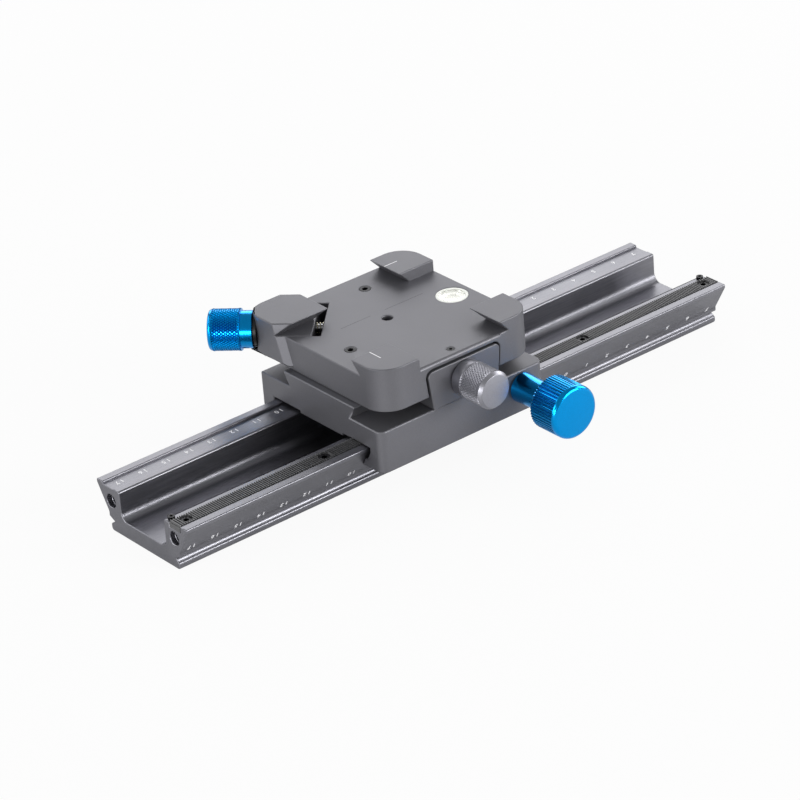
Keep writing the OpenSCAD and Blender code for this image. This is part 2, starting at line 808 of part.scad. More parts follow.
// Profile of the front claws, in Y and Z, down to the base's underside
module front_claw_outline()
    polygon([
        [-base_front, base_z],
        [-base_front + front_reach - claw_undercut, base_z],
        [-base_front + front_reach - claw_undercut, floor_z],
        [-base_front + front_reach, claw_z],
        [-base_front, claw_z]
    ]);

// Profile of the right claws, in X and Z
module side_claw_outline()
    polygon([
        [base_x1, base_z],
        [base_x1 - side_reach + claw_undercut, base_z],
        [base_x1 - side_reach + claw_undercut, floor_z],
        [base_x1 - side_reach, claw_z],
        [base_x1, claw_z]
    ]);

// The jaw's cross section on the diagonal, grown by a gap, from z0 to z1
module jaw_outline(gap, z0, z1)
    polygon([
        [-jaw_half(z0) - gap, z0],
        [jaw_half(z0) + gap, z0],
        [jaw_half(z1) + gap, z1],
        [-jaw_half(z1) - gap, z1]
    ]);

// The tab's outline in X and Z, grown by a gap, from z0 up
module tab_outline(gap, z0) {
    lean_angle = atan(tab_lean);
    r = tab_r + gap;
    top = tab_top_z + gap;
    corner_x = tab_half(top - r) + gap / cos(lean_angle) - r / cos(lean_angle);
    foot_x = tab_half(z0) + gap / cos(lean_angle);
    translate([tab_x, 0]) polygon(both_sides(concat(
        [[foot_x, z0]],
        arc([corner_x, top - r], r, -lean_angle, 90)
    )));
}

module clamp_base()
    color("#77777d")
    difference() {
        union() {
            intersection() {
                union() {
                    translate([base_x0, -base_front, base_z])
                        cube([base_len, base_front + base_back, base_t]);
                    along_x(base_x0, base_x0 + claw_len) front_claw_outline();
                    intersection() {
                        along_x(base_x1 - side_reach, base_x1) front_claw_outline();
                        along_y(-base_front, base_back) side_claw_outline();
                    }
                    along_y(base_back - claw_len, base_back) side_claw_outline();
                }
                translate([0, 0, base_z]) linear_extrude(claw_z - base_z)
                    rounded_outline(base_x0, base_x1, -base_front, base_back, base_r);
            }
            along_x(tab_x - tab_w / 2, tab_x + tab_w / 2) polygon([
                [lug_back_y, base_z + web],
                [lug_back_y, tab_foot_z],
                [rib_root_w / 2 + flank_gap, tab_foot_z],
                [rib_w / 2 + flank_gap, rib_flank_z],
                [rib_w / 2 + flank_gap, base_z + web]
            ]);
        }
        on_diagonal() translate([0, 0, guide_u]) linear_extrude(guide_len * 2)
            jaw_outline(slide_gap, guide_z, claw_z + over);
        rod_u(jaw_screw_z, screw_tip_u - jaw_travel_in - web, guide_u + over,
            jaw_screw_r + run_gap);
        rod_u(jaw_screw_z, spring_base_u - snug, guide_u + over,
            spring_r + spring_wire_r + slide_gap);
        along_y(-base_front - over, recess_y) tab_outline(tab_gap, base_z - over);
        rod_y(tab_x, tab_screw_z, recess_y - over, tab_back_y + tab_screw_grip + web,
            tab_screw_r + run_gap);
        for (x = [tab_x - tab_pin_x, tab_x + tab_pin_x]) {
            rod_y(x, tab_pin_z, recess_y - over, tab_back_y + tab_pin_reach + web,
                tab_pin_r + run_gap);
            rod_y(x, tab_pin_z, recess_y - over, tab_back_y + tab_spring_len,
                tab_spring_r + slide_gap);
        }
        post(tab_x + limit_screw_shift, limit_screw_y, tab_top_z, floor_z + over,
            limit_screw_r + snug);
        for (p = floor_screw_places)
            post(p[0], p[1], floor_z - floor_screw_len - snug, floor_z + over,
                floor_screw_r + snug);
        along_x(base_x0 + claw_len, base_x1 - side_reach) polygon(concat(
            [[-base_front - over, floor_z - front_edge_r], [-base_front - over, floor_z + over],
                [-base_front + front_edge_r, floor_z + over]],
            arc([-base_front + front_edge_r, floor_z - front_edge_r], front_edge_r, 90, 180)
        ));
        post(carriage_x + centre_hole_x, centre_hole_y, floor_z - centre_hole_depth,
            floor_z + over, centre_hole_r);
        post(level_cx, level_cy, floor_z - level_depth, floor_z + over, level_r);
    }

// Places of the two screws in the clamp's floor, on both sides of the diagonal
floor_screw_places = [
    for (side = [-1, 1])
        let (w = corner_w + side * floor_screw_w)
            [(w - floor_screw_u) * diagonal_share, (w + floor_screw_u) * diagonal_share]
];

module floor_screws()
    color("#3a3a3c")
    for (p = floor_screw_places) translate([p[0], p[1], 0])
        set_screw(floor_screw_r, floor_z - floor_screw_len, floor_z - slide_gap);

module tab_limit_screw()
    color("#3a3a3c")
    translate([tab_x + limit_screw_shift, limit_screw_y, 0])
        set_screw(limit_screw_r, tab_top_z - limit_screw_dip, floor_z - slide_gap);

// Level

cup_z = floor_z - level_depth + snug;
glass_z = floor_z - level_sink - glass_t;

module level_cup()
    color("#1f2124")
    difference() {
        post(level_cx, level_cy, cup_z, floor_z - slide_gap, level_r - snug);
        post(level_cx, level_cy, cup_z + cup_wall, floor_z + over, level_r - cup_wall);
    }

module level_fluid()
    color("#d9dc9a")
    difference() {
        post(level_cx, level_cy, cup_z + cup_wall + snug, glass_z - snug, level_r - cup_wall - snug);
        post(level_cx, level_cy, glass_z - bubble_h - snug * 2, glass_z + over, bubble_r + snug);
    }

module level_bubble()
    color("#f4f6e4")
    post(level_cx, level_cy, glass_z - bubble_h, glass_z - snug, bubble_r);

module level_glass()
    color("#e9e6dc")
    post(level_cx, level_cy, glass_z, floor_z - level_sink, level_r - cup_wall - snug);

// Clamping tab

module clamp_tab()
    color("#6f6f75")
    difference() {
        intersection() {
            along_x(tab_x - tab_w, tab_x + tab_w) polygon([
                [tab_front_y, tab_foot_z],
                [tab_front_y, tab_top_z],
                [tab_back_y, tab_top_z],
                [tab_back_y, hook_top_z],
                [-rib_w / 2 - flank_gap, hook_top_z],
                [-rib_w / 2 - flank_gap, rib_flank_z],
                [-rib_root_w / 2 - flank_gap, tab_foot_z]
            ]);
            along_y(tab_front_y - over, 0) tab_outline(0, tab_foot_z);
        }
        rod_y(tab_x, tab_screw_z, tab_front_y - over, tab_back_y + over, tab_screw_r + slide_gap);
        for (x = [tab_x - tab_pin_x, tab_x + tab_pin_x])
            rod_y(x, tab_pin_z, tab_back_y - tab_pin_grip, tab_back_y + over, tab_pin_r + snug);
        translate([
            tab_x + limit_screw_shift - limit_screw_r - slide_gap,
            limit_screw_y - limit_screw_r - tab_travel / 2,
            tab_top_z - limit_screw_dip - slide_gap
        ])
            cube([
                2 * (limit_screw_r + slide_gap),
                2 * limit_screw_r + tab_travel * 2,
                limit_screw_dip + slide_gap + over
            ]);
    }

module tab_guide_pins()
    color("#b9bcc0")
    for (x = [tab_x - tab_pin_x, tab_x + tab_pin_x])
        rod_y(x, tab_pin_z, tab_back_y - tab_pin_grip + snug, tab_back_y + tab_pin_reach, tab_pin_r);

module tab_springs()
    color("#9a9ca0")
    for (x = [tab_x - tab_pin_x, tab_x + tab_pin_x]) difference() {
        rod_y(x, tab_pin_z, tab_back_y + snug, tab_back_y + tab_spring_len - snug, tab_spring_r);
        rod_y(x, tab_pin_z, tab_back_y, tab_back_y + tab_spring_len, tab_spring_r - tab_spring_wall);
    }

tab_len = tab_neck_len + tab_head_len;
tab_dome = 1.3;
tab_edge = 1;
tab_socket_len = 11;

module tab_screw()
    color("#9a9ca0")
    rod_y(tab_x, tab_screw_z, tab_front_y - neck_gap - tab_socket_len,
        tab_back_y + tab_screw_grip, tab_screw_r);

module tab_knob()
    color("#9a9aa2")
    difference() {
        turned_y(tab_x, tab_screw_z, tab_front_y - neck_gap, [
            [0, 0],
            [tab_neck_r, 0],
            [tab_neck_r, tab_neck_len],
            [tab_head_r, tab_neck_len + heel_edge],
            [tab_head_r, tab_len - tab_dome],
            [tab_head_r - tab_edge, tab_len - heel_edge],
            [tab_head_r - 2 * tab_edge, tab_len],
            [0, tab_len]
        ]);
        rod_y(tab_x, tab_screw_z, tab_front_y - neck_gap - tab_socket_len - snug, 0,
            tab_screw_r + snug);
    }

// Corner jaw

jaw_root_x = jaw_x0 + jaw_reach - claw_undercut;
jaw_root_y = jaw_y1 - jaw_reach + claw_undercut;

// What the jaw's undercut faces leave open above the floor, in one direction
module jaw_undercut_outline(root, tip)
    polygon([
        [root, floor_z],
        [tip, claw_z],
        [tip, claw_z + over],
        [root + base_len, claw_z + over],
        [root + base_len, floor_z]
    ]);

module corner_jaw()
    color("#7b7b82")
    difference() {
        intersection() {
            on_diagonal() translate([0, 0, guide_u - guide_len]) linear_extrude(guide_len * 3)
                jaw_outline(0, jaw_foot_z, claw_z);
            translate([0, 0, guide_z]) linear_extrude(claw_z - guide_z)
                rounded_outline(jaw_x0, jaw_x0 + base_len, jaw_y1 - base_len, jaw_y1, jaw_r);
        }
        on_diagonal() translate([-base_len, guide_z, -base_len])
            cube([2 * base_len, floor_z - guide_z, base_len + slider_u]);
        along_y(-base_front, base_back + guide_len)
            jaw_undercut_outline(jaw_root_x, jaw_root_x + claw_undercut);
        mirror([0, 1, 0]) along_x(-base_len - guide_len, base_len)
            jaw_undercut_outline(-jaw_root_y, -jaw_root_y + claw_undercut);
        jaw_chamfers();
        rod_u(jaw_screw_z, guide_u, corner_u + jaw_open, jaw_screw_r + slide_gap);
        rod_u(jaw_screw_z, guide_u, spring_end_u + snug, spring_r + spring_wire_r + slide_gap);
        rod_u(jaw_screw_z, jaw_face_u, corner_u + jaw_open, spot_r);
    }

// Chamfers along the jaw's two lower outer edges and round its corner
module jaw_chamfers() {
    along_y(jaw_y1 - base_len, jaw_y1 - jaw_r) polygon([
        [jaw_x0 - over, jaw_foot_z - over],
        [jaw_x0 + jaw_chamfer + over, jaw_foot_z - over],
        [jaw_x0 - over, jaw_foot_z + jaw_chamfer + over]
    ]);
    along_x(jaw_x0 + jaw_r, jaw_x0 + base_len) polygon([
        [jaw_y1 + over, jaw_foot_z - over],
        [jaw_y1 - jaw_chamfer - over, jaw_foot_z - over],
        [jaw_y1 + over, jaw_foot_z + jaw_chamfer + over]
    ]);
    intersection() {
        translate([jaw_x0 + jaw_r, jaw_y1 - jaw_r, 0]) rotate_extrude() polygon([
            [jaw_r + over, jaw_foot_z - over],
            [jaw_r - jaw_chamfer - over, jaw_foot_z - over],
            [jaw_r + over, jaw_foot_z + jaw_chamfer + over]
        ]);
        translate([jaw_x0 - over, jaw_y1 - jaw_r, jaw_foot_z - over])
            cube([jaw_r + over, jaw_r + over, jaw_chamfer + 2 * over]);
    }
}

module jaw_washer()
    color("#1d1d1f")
    difference() {
        rod_u(jaw_screw_z, jaw_face_u + snug, jaw_face_u + washer_t, washer_r);
        rod_u(jaw_screw_z, jaw_face_u - over, jaw_face_u + washer_t + over,
            jaw_screw_r + slide_gap);
    }

// The spring: rings of points along a helix, joined into one tube
rings_per_turn = 8;
ring_sides = 6;
spring_rings = spring_turns * rings_per_turn;
spring_len = spring_end_u - spring_base_u - 2 * spring_wire_r - 2 * snug;
spring_rise = spring_len / spring_rings;

// Centre of the wire at a ring
function coil_point(i) =
    let (a = i * 360 / rings_per_turn)
        [spring_r * cos(a), spring_r * sin(a), i * spring_rise];

// Point on the wire's surface at a ring and a side
function wire_point(i, s) =
    let (a = i * 360 / rings_per_turn, b = s * 360 / ring_sides)
        coil_point(i) + spring_wire_r * (cos(b) * [cos(a), sin(a), 0] + sin(b) * [0, 0, 1]);

// Least distance between the wire's surfaces on neighbouring turns
spring_gap = min([
    for (i = [rings_per_turn : spring_rings])
        norm(coil_point(i) - coil_point(i - rings_per_turn)) - 2 * spring_wire_r
]);
echo(least_gap_of_spring = spring_gap);

module jaw_spring()
    color("#a9acae")
    on_diagonal() translate([0, jaw_screw_z, spring_base_u + spring_wire_r + snug])
        polyhedron(
            points = [for (i = [0 : spring_rings]) for (s = [0 : ring_sides - 1]) wire_point(i, s)],
            faces = concat(
                [[for (s = [0 : ring_sides - 1]) s]],
                [for (i = [0 : spring_rings - 1]) for (s = [0 : ring_sides - 1])
                    for (f = [
                        [i, s, i + 1, s, i, s + 1],
                        [i, s + 1, i + 1, s, i + 1, s + 1]
                    ])
                        [for (j = [0 : 2]) f[2 * j] * ring_sides + f[2 * j + 1] % ring_sides]],
                [[for (s = [ring_sides - 1 : -1 : 0]) spring_rings * ring_sides + s]]
            )
        );

jaw_socket_len = 12;

module jaw_screw()
    color("#9a9ca0")
    rod_u(jaw_screw_z, screw_tip_u, knob_u + jaw_socket_len, jaw_screw_r);

jaw_knob_len = jaw_collar_len + jaw_head_len;
jaw_grub_s = jaw_collar_len - grub_r - slide_gap;

module jaw_knob()
    color("#0077bd")
    difference() {
        on_diagonal() translate([0, jaw_screw_z, knob_u]) rotate_extrude() polygon(concat(
            [
                [0, 0],
                [jaw_collar_r, 0],
                [jaw_collar_r, jaw_collar_len],
                [jaw_head_r, jaw_collar_len + heel_edge]
            ],
            arc([jaw_head_r - head_edge, jaw_knob_len - head_edge], head_edge, 0, 90),
            [[0, jaw_knob_len]]
        ));
        rod_u(jaw_screw_z, knob_u - over, knob_u + jaw_socket_len + snug, jaw_screw_r + snug);
        on_diagonal() translate([0, jaw_screw_z, knob_u + jaw_grub_s])
            rotate([0, 90, -jaw_grub_angle]) cylinder(r = grub_r + snug, h = jaw_head_r + over);
    }

module jaw_knob_grub()
    color("#c8cacc")
    on_diagonal() translate([0, jaw_screw_z, knob_u + jaw_grub_s])
        rotate([0, 90, -jaw_grub_angle])
            set_screw(grub_r, jaw_screw_r + shaft_flat_gap, jaw_collar_r - pass_gap);

rail();
rack();
rack_screws();
end_stop_screws();
tripod_insert();
carriage();
gib();
gib_screws();
front_bush();
inner_bush();
shaft_keeper();
pinion_shaft();
drive_knob();
drive_knob_grub();
clamp_base();
floor_screws();
tab_limit_screw();
level_cup();
level_fluid();
level_bubble();
level_glass();
clamp_tab();
tab_guide_pins();
tab_springs();
tab_screw();
tab_knob();
corner_jaw();
jaw_washer();
jaw_spring();
jaw_screw();
jaw_knob();
jaw_knob_grub();
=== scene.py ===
"""Looks of a macro focusing rail: machined and anodised pieces, knurled knobs, a
printed centimetre scale and a round level, on a plain pale floor."""

from math import atan2, cos, pi, radians, sin

import bmesh
import bpy
from mathutils import Matrix, Vector


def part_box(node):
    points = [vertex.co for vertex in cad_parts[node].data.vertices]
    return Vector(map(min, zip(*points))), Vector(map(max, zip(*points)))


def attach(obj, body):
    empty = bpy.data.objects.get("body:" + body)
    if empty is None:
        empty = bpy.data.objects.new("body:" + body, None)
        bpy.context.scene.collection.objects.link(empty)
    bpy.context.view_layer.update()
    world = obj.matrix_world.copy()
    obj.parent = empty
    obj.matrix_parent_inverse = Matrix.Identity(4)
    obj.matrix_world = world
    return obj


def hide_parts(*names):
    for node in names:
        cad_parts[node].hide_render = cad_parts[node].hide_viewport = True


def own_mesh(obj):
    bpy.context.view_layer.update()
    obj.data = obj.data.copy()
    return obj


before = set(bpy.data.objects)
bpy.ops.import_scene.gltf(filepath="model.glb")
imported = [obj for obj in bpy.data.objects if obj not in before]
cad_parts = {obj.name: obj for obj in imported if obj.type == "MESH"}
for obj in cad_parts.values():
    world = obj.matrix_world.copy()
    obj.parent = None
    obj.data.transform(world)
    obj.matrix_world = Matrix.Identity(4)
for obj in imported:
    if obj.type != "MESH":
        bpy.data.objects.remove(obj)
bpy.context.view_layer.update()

MM = 0.001


# Colour and shader nodes

# The slow drift of a metal's colour: its size in mm, and its share beside the grain
CLOUD = 26
CLOUD_SHARE = 0.35

# The noise values that give a metal its two colours, and those that spread its gloss
COLOUR_STOPS = (0.35, 0.65)
GLOSS_STOPS = (0.3, 0.7)
GLOSS_SPREAD = 0.04

# The clear oxide over a dyed layer
OXIDE_ROUGHNESS = 0.12

PLASTIC_IOR = 1.49

# The size of the faint flow in a clear solid, in mm, and how rough its polish is
FLOW = 4
POLISH = 0.02


def linear(hex_colour):
    """A colour written as sRGB hex, in the linear values that sockets take."""
    parts = [int(hex_colour[i:i + 2], 16) / 255 for i in (1, 3, 5)]
    return [c / 12.92 if c <= 0.04045 else ((c + 0.055) / 1.055) ** 2.4 for c in parts] + [1.0]


def add(tree, kind, inputs=None, **settings):
    """Adds a node with its settings, its values and its links."""
    node = tree.nodes.new(kind)
    for name, value in settings.items():
        setattr(node, name, value)
    for name, value in (inputs or {}).items():
        if isinstance(value, bpy.types.NodeSocket):
            tree.links.new(value, node.inputs[name])
        else:
            node.inputs[name].default_value = value
    return node


def new_material(name):
    """A material with an empty tree and its output."""
    material = bpy.data.materials.new(name)
    material.use_nodes = True
    tree = material.node_tree
    tree.nodes.clear()
    return material, tree, add(tree, "ShaderNodeOutputMaterial")


def metal(name, dark, light, roughness, grain_mm, depth_mm, stretch=(1, 1, 1), coat=0.0, bare=1.0):
    """A metal whose colour, gloss and height follow one grain.

    The grain's size is in millimetres, and stretch draws it out along an axis.
    The coat is the clear oxide over a dyed layer: it mirrors the lamps in white.
    Bare is the share that still acts as metal under an oxide which scatters light.
    """
    material, tree, output = new_material(name)
    place = add(tree, "ShaderNodeTexCoord")
    drawn = add(tree, "ShaderNodeMapping", {"Vector": place.outputs["Object"], "Scale": stretch})
    grain = add(tree, "ShaderNodeTexNoise", {
        "Vector": drawn.outputs["Vector"], "Scale": 1 / (grain_mm * MM), "Detail": 3.0,
        "Roughness": 0.6})
    cloud = add(tree, "ShaderNodeTexNoise", {
        "Vector": place.outputs["Object"], "Scale": 1 / (CLOUD * MM), "Detail": 2.0,
        "Roughness": 0.5})
    both = add(tree, "ShaderNodeMix", {
        "Factor": CLOUD_SHARE, "A": grain.outputs["Fac"], "B": cloud.outputs["Fac"]},
        data_type="FLOAT")
    colour = add(tree, "ShaderNodeValToRGB", {"Fac": both.outputs["Result"]})
    for stop, position, shade in zip(colour.color_ramp.elements, COLOUR_STOPS, (dark, light)):
        stop.position = position
        stop.color = linear(shade)
    gloss = add(tree, "ShaderNodeMapRange", {
        "Value": grain.outputs["Fac"], "From Min": GLOSS_STOPS[0], "From Max": GLOSS_STOPS[1],
        "To Min": roughness - GLOSS_SPREAD, "To Max": roughness + GLOSS_SPREAD})
    height = add(tree, "ShaderNodeBump", {
        "Height": grain.outputs["Fac"], "Strength": 1.0, "Distance": depth_mm * MM})
    surface = add(tree, "ShaderNodeBsdfPrincipled", {
        "Base Color": colour.outputs["Color"], "Roughness": gloss.outputs["Result"],
        "Normal": height.outputs["Normal"], "Metallic": bare, "Coat Weight": coat,
        "Coat Roughness": OXIDE_ROUGHNESS})
    tree.links.new(surface.outputs["BSDF"], output.inputs["Surface"])
    return material


def plastic(name, dark, light, roughness, grain_mm, depth_mm):
    """A moulded plastic or a print, with the fine grain of its surface."""
    material, tree, output = new_material(name)
    place = add(tree, "ShaderNodeTexCoord")
    grain = add(tree, "ShaderNodeTexNoise", {
        "Vector": place.outputs["Object"], "Scale": 1 / (grain_mm * MM), "Detail": 3.0})
    colour = add(tree, "ShaderNodeMix", {
        "Factor": grain.outputs["Fac"], "A": linear(dark), "B": linear(light)}, data_type="RGBA")
    height = add(tree, "ShaderNodeBump", {
        "Height": grain.outputs["Fac"], "Strength": 1.0, "Distance": depth_mm * MM})
    surface = add(tree, "ShaderNodeBsdfPrincipled", {
        "Base Color": colour.outputs["Result"], "Roughness": roughness,
        "Normal": height.outputs["Normal"], "IOR": PLASTIC_IOR})
    tree.links.new(surface.outputs["BSDF"], output.inputs["Surface"])
    return material


def clear(name, tint, edge, ior, milk=0.0):
    """A clear or cloudy solid that lets the lamps through to what lies under it."""
    material, tree, output = new_material(name)
    place = add(tree, "ShaderNodeTexCoord")
    flow = add(tree, "ShaderNodeTexNoise", {
        "Vector": place.outputs["Object"], "Scale": 1 / (FLOW * MM), "Detail": 1.0})
    colour = add(tree, "ShaderNodeMix", {
        "Factor": flow.outputs["Fac"], "A": linear(tint), "B": linear(edge)}, data_type="RGBA")
    surface = add(tree, "ShaderNodeBsdfPrincipled", {
        "Base Color": colour.outputs["Result"], "Roughness": POLISH, "IOR": ior,
        "Transmission Weight": 1.0 - milk})
    through = add(tree, "ShaderNodeBsdfTransparent", {"Color": colour.outputs["Result"]})
    ray = add(tree, "ShaderNodeLightPath")
    shaded = add(tree, "ShaderNodeMixShader", {
        "Fac": ray.outputs["Is Shadow Ray"], 1: surface.outputs["BSDF"], 2: through.outputs["BSDF"]})
    tree.links.new(shaded.outputs["Shader"], output.inputs["Surface"])
    return material


# Bead blasted and titanium grey anodised aluminium: an even, dry sheen with no
# cutter marks. The grit is 0.1 mm, drawn at 0.3 mm so that it shows.
BLASTED = metal("bead_blasted_titanium_anodised_aluminium", "#6c6c71", "#77777c",
                roughness=0.5, grain_mm=0.3, depth_mm=0.004, bare=0.75)

# The same anodising on an extrusion: faint die lines run along the rail.
EXTRUDED = metal("extruded_titanium_anodised_aluminium", "#7a7a80", "#8a8a90",
                 roughness=0.38, grain_mm=0.5, depth_mm=0.005, stretch=(0.03, 1, 1))

# Turned aluminium, clear anodised: lighter than the blasted parts, and satin.
SILVER = metal("turned_clear_anodised_aluminium", "#98989f", "#a5a5ad",
               roughness=0.38, grain_mm=0.35, depth_mm=0.002)

# The valleys of its knurl, pressed by a wheel: a little duller.
SILVER_GROOVE = metal("knurl_grooves_clear_anodised", "#98989f", "#a4a4ac",
                      roughness=0.42, grain_mm=0.35, depth_mm=0.002)

# Turned aluminium, bright blue anodised: deep colour with a sharp sheen.
BLUE = metal("turned_bright_blue_anodised_aluminium", "#0098e4", "#00a6f6",
             roughness=0.2, grain_mm=0.35, depth_mm=0.0008, coat=0.12)

# The valleys of its knurl: duller than the worn tips, and darker as painted shade in the grooves, so
# that the diamonds show.
BLUE_GROOVE_SHADE = metal("knurl_grooves_blue_painted_shade", "#0072b6", "#007fc8",
                    roughness=0.38, grain_mm=0.35, depth_mm=0.001)

# Hardened steel rack, chemically blacked: a neutral grey that no anodised part has.
RACK_STEEL = metal("blacked_rack_steel", "#68686a", "#7c7c7d",
                   roughness=0.4, grain_mm=0.4, depth_mm=0.005)

# Black oxide on alloy steel screws: almost black, with a soft oily sheen.
BLACK_OXIDE = metal("black_oxide_screw_steel", "#1c1c1e", "#2d2d30",
                    roughness=0.33, grain_mm=0.3, depth_mm=0.003)

# Turned stainless steel: bright, with a fine even grain.
STAINLESS = metal("turned_stainless_steel", "#b4b5b8", "#c4c5c8",
                  roughness=0.24, grain_mm=0.25, depth_mm=0.002)

# Drawn spring wire: bright, with a trace of straw from stress relief.
SPRING_WIRE = metal("drawn_spring_steel_wire", "#b9b39c", "#cbc6b2",
                    roughness=0.25, grain_mm=0.2, depth_mm=0.002)

# Sintered bearing bronze: warm, with small pores.
BRONZE = metal("sintered_bearing_bronze", "#9a7a48", "#b08f58",
               roughness=0.42, grain_mm=0.3, depth_mm=0.008)

# Acetal, moulded black: smooth, with a low waxy sheen.
ACETAL = plastic("moulded_black_acetal", "#060608", "#0c0c0e",
                 roughness=0.42, grain_mm=0.5, depth_mm=0.003)

# White acrylic, moulded for the level's cup: even, with a soft sheen.
WHITE_CUP = plastic("moulded_white_acrylic", "#eef0ea", "#f8faf4",
                    roughness=0.4, grain_mm=0.5, depth_mm=0.001)

# White ink, pad printed on the anodising: flat, and a little uneven.
INK = plastic("pad_printed_white_ink", "#e9e9ec", "#fbfbfd",
              roughness=0.55, grain_mm=0.15, depth_mm=0.003)

# A fine scribed line in the clamp's floor, drawn as a strip a shade darker than what is round it:
# painted shade of the line's groove.
SCRIBE_SHADE = metal("scribe_groove_painted_shade", "#3c3c41", "#4a4a50",
                roughness=0.5, grain_mm=0.3, depth_mm=0.004)

# Acrylic cover of the level: clear and polished.
ACRYLIC = clear("polished_clear_acrylic", "#fdfdfb", "#fbfbf8", ior=PLASTIC_IOR)

# Spirit, seen against the white cup: pale, with a faint warm dye.
SPIRIT = clear("pale_level_spirit", "#fdfefb", "#fafbf6", ior=1.36, milk=0.7)

# The air bubble: only its wall shows.
AIR = clear("level_air_bubble", "#ffffff", "#fcfcfa", ior=1.02)


# Shapes

# Points are joined when they are nearer than this: in a solid's mesh, and after a spin
SOLID_WELD = 0.002 * MM
SPIN_WELD = 0.0001 * MM

# A vertex this near to a radius or a height counts as on it, in mm
NEAR = 0.01

# Faces of a solid within this angle are one flat face, and edges past the other are broken
FLAT = radians(0.4)
CORNER = radians(30)

# The most that a broken edge takes of the narrower face beside it, as a share
NARROW_SHARE = 0.42

BORE_SIDES = 48

# The knurls, in mm. Diamonds of 0.5 mm are drawn coarser, at about 1 mm, so that they show:
# a row is half a diamond long, and the crests stand above the head that they are cut in.
# The heel is the plain step under the first row.
KNURL_ROW = 0.8
KNURL_DEPTH = 0.5
KNURL_CREST = 0.2
KNURL_WORN = 0.42
KNURL_HEEL = 0.1


def mesh_piece(name, shape, material, body, smooth=30, grooves=None):
    """Turns a bmesh into a piece at the origin that rides on a body.

    Edges past smooth, in degrees, stay sharp, and grooves is a second material.
    """
    data = bpy.data.meshes.new(name)
    shape.to_mesh(data)
    shape.free()
    data.materials.append(material)
    if grooves:
        data.materials.append(grooves)
    data.shade_smooth()
    data.set_sharp_from_angle(angle=radians(smooth))
    piece = bpy.data.objects.new(name, data)
    bpy.context.scene.collection.objects.link(piece)
    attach(piece, body)
    return piece


def broken_edges(node, name, material, body, width):
    """A CAD solid with its outer edges broken, as tumbling leaves them.

    An edge beside a narrow face is broken by less than half of that face.
    """
    shape = bmesh.new()
    shape.from_mesh(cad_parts[node].data)
    bmesh.ops.remove_doubles(shape, verts=shape.verts, dist=SOLID_WELD)
    bmesh.ops.dissolve_limit(shape, angle_limit=FLAT, verts=shape.verts, edges=shape.edges)
    share = shape.edges.layers.float.new("bevel_weight_edge")
    for edge in shape.edges:
        if len(edge.link_faces) == 2 and edge.calc_face_angle_signed() > CORNER:
            room = min(face.calc_area() for face in edge.link_faces) / edge.calc_length()
            edge[share] = min(1.0, NARROW_SHARE * room / (width * MM))
    piece = mesh_piece(name, shape, material, body)
    bevel = piece.modifiers.new("broken edges", "BEVEL")
    bevel.width = width * MM
    bevel.segments = 2
    bevel.limit_method = "WEIGHT"
    bevel.use_clamp_overlap = False
    even = piece.modifiers.new("flat faces stay flat", "WEIGHTED_NORMAL")
    even.keep_sharp = True
    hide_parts(node)


def turned(profile, steps):
    """A closed turned shape about Z, from points of radius and height in mm."""
    shape = bmesh.new()
    points = [shape.verts.new((r * MM, 0, h * MM)) for r, h in profile]
    lines = [shape.edges.new(pair) for pair in zip(points, points[1:])]
    bmesh.ops.spin(shape, geom=points + lines, cent=(0, 0, 0), axis=(0, 0, 1), dvec=(0, 0, 0),
                   angle=2 * pi, steps=steps, use_merge=True)
    bmesh.ops.remove_doubles(shape, verts=shape.verts, dist=SPIN_WELD)
    bmesh.ops.recalc_face_normals(shape, faces=shape.faces)
    return shape


def rounded(r, h, edge, steps=6):
    """Points of a rounded rim that ends at radius r and height h."""
    return [(r - edge + edge * cos(a), h - edge + edge * sin(a))
            for a in (i * pi / 2 / steps for i in range(steps + 1))]


def rows(r, h0, h1):
    """Points up a cylinder, one for each row of half diamonds."""
    count = round((h1 - h0) / KNURL_ROW)
    return [(r, h0 + (h1 - h0) * i / count) for i in range(count + 1)]


def diamond_knurl(shape, r, h0, h1, count):
    """Presses count diamonds a turn into a turned shape, between two heights in mm.

    The shape has two steps for each diamond. Every other point of this grid goes down,
    each face folds along the valley between two such points, and each tip is worn flat.
    The faces at the valleys take the piece's second material.
    """
    grid = [vert for vert in shape.verts if abs(vert.co.xy.length / MM - r) < NEAR
            and h0 - NEAR < vert.co.z / MM < h1 + NEAR]
    levels = sorted({round(vert.co.z / MM, 3) for vert in grid})
    valleys = set()
    tips = []
    for vert in grid:
        column = round(atan2(vert.co.y, vert.co.x) / pi * count)
        level = levels.index(round(vert.co.z / MM, 3))
        inner = 0 < level < len(levels) - 1
        if (column + level) % 2:
            valleys.add(vert)
            deep = KNURL_DEPTH if inner else KNURL_DEPTH / 2
        elif inner:
            tips.append(vert)
            deep = 0
        else:
            deep = KNURL_CREST
        vert.co.x *= 1 - deep / r
        vert.co.y *= 1 - deep / r
    for face in shape.faces[:]:
        low = [vert for vert in face.verts if vert in valleys]
        if len(face.verts) == 4 and len(low) == 2:
            bmesh.utils.face_split(face, low[0], low[1])
    bmesh.ops.bevel(shape, geom=tips, offset=KNURL_WORN * MM, offset_type="OFFSET", segments=1,
                    profile=0.5, affect="VERTICES", material=-1, clamp_overlap=True)
    for vert in valleys:
        for face in vert.link_faces:
            if levels[0] < face.calc_center_median().z / MM < levels[-1]:
                face.material_index = 1


def straight_flutes(shape, r, h0, h1, count, depth, land):
    """Cuts round bottomed flutes along a turned shape between two heights, in mm.

    Land is the share of each flute's width that stays uncut.
    """
    for vert in shape.verts:
        radius = vert.co.xy.length / MM
        if abs(radius - r) > NEAR or not h0 - NEAR < vert.co.z / MM < h1 + NEAR:
            continue
        across = abs((atan2(vert.co.y, vert.co.x) / (2 * pi) * count) % 1.0 - 0.5) * 2
        groove = max(0.0, 1 - across / (1 - land))
        scale = 1 - depth * sin(groove * pi / 2) / radius
        vert.co.x *= scale
        vert.co.y *= scale


